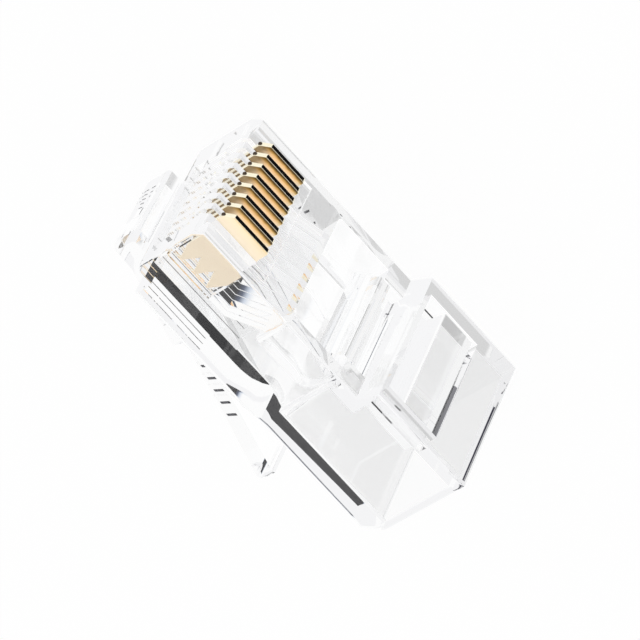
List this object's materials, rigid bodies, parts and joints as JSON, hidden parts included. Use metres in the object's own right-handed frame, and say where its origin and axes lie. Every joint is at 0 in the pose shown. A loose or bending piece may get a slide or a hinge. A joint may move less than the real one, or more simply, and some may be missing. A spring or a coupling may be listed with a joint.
{
  "type": "rj45 modular plug",
  "caption": "Clear uncrimped modular plug with gold contacts standing proud in a comb, a flexing latch, a conductor clamp, a jacket clamp and an open cable cavity.",
  "frame": {"origin": "middle of the flat side face that the plug lies on: half way along the body and half way down the nose", "axes": "+X towards the nose, the way the plug goes in; +Y from the contact side towards the latch; +Z across the width, up from the side it lies on"},
  "size_m": [0.0226, 0.0137, 0.0117],
  "materials": {
    "clear_polycarbonate": "water clear, polished mould",
    "gold_plated_contact": "bright gold plate"
  },
  "bodies": {
    "housing": {"housing": "clear_polycarbonate"},
    "latch": {"latch": "clear_polycarbonate"},
    "conductor_clamp": {"conductor_clamp": "clear_polycarbonate"},
    "jacket_clamp": {"jacket_clamp": "clear_polycarbonate"},
    "contact_1": {"contact_1": "gold_plated_contact"},
    "contact_2": {"contact_2": "gold_plated_contact"},
    "contact_3": {"contact_3": "gold_plated_contact"},
    "contact_4": {"contact_4": "gold_plated_contact"},
    "contact_5": {"contact_5": "gold_plated_contact"},
    "contact_6": {"contact_6": "gold_plated_contact"},
    "contact_7": {"contact_7": "gold_plated_contact"},
    "contact_8": {"contact_8": "gold_plated_contact"}
  },
  "joints": [
    {"name": "latch_flex", "type": "hinge", "parent": "housing", "child": "latch", "pos_m": [0.01039, 0.00244, 0.00584], "axis": [0, 0, 1], "range_deg": [0, 14], "stiffness_Nm_per_rad": 0.15},
    {"name": "conductor_clamp_fold", "type": "hinge", "parent": "housing", "child": "conductor_clamp", "pos_m": [-0.00178, -0.00222, 0.00584], "axis": [0, 0, 1], "range_deg": [0, 45]},
    {"name": "jacket_clamp_fold", "type": "hinge", "parent": "housing", "child": "jacket_clamp", "pos_m": [-0.00392, -0.00297, 0.00584], "axis": [0, 0, -1], "range_deg": [0, 32]},
    {"name": "contact_1_press", "type": "slide", "parent": "housing", "child": "contact_1", "axis": [0, 1, 0], "range_m": [0, 0.0008]},
    {"name": "contact_2_press", "type": "slide", "parent": "housing", "child": "contact_2", "axis": [0, 1, 0], "range_m": [0, 0.0008]},
    {"name": "contact_3_press", "type": "slide", "parent": "housing", "child": "contact_3", "axis": [0, 1, 0], "range_m": [0, 0.0008]},
    {"name": "contact_4_press", "type": "slide", "parent": "housing", "child": "contact_4", "axis": [0, 1, 0], "range_m": [0, 0.0008]},
    {"name": "contact_5_press", "type": "slide", "parent": "housing", "child": "contact_5", "axis": [0, 1, 0], "range_m": [0, 0.0008]},
    {"name": "contact_6_press", "type": "slide", "parent": "housing", "child": "contact_6", "axis": [0, 1, 0], "range_m": [0, 0.0008]},
    {"name": "contact_7_press", "type": "slide", "parent": "housing", "child": "contact_7", "axis": [0, 1, 0], "range_m": [0, 0.0008]},
    {"name": "contact_8_press", "type": "slide", "parent": "housing", "child": "contact_8", "axis": [0, 1, 0], "range_m": [0, 0.0008]}
  ]
}
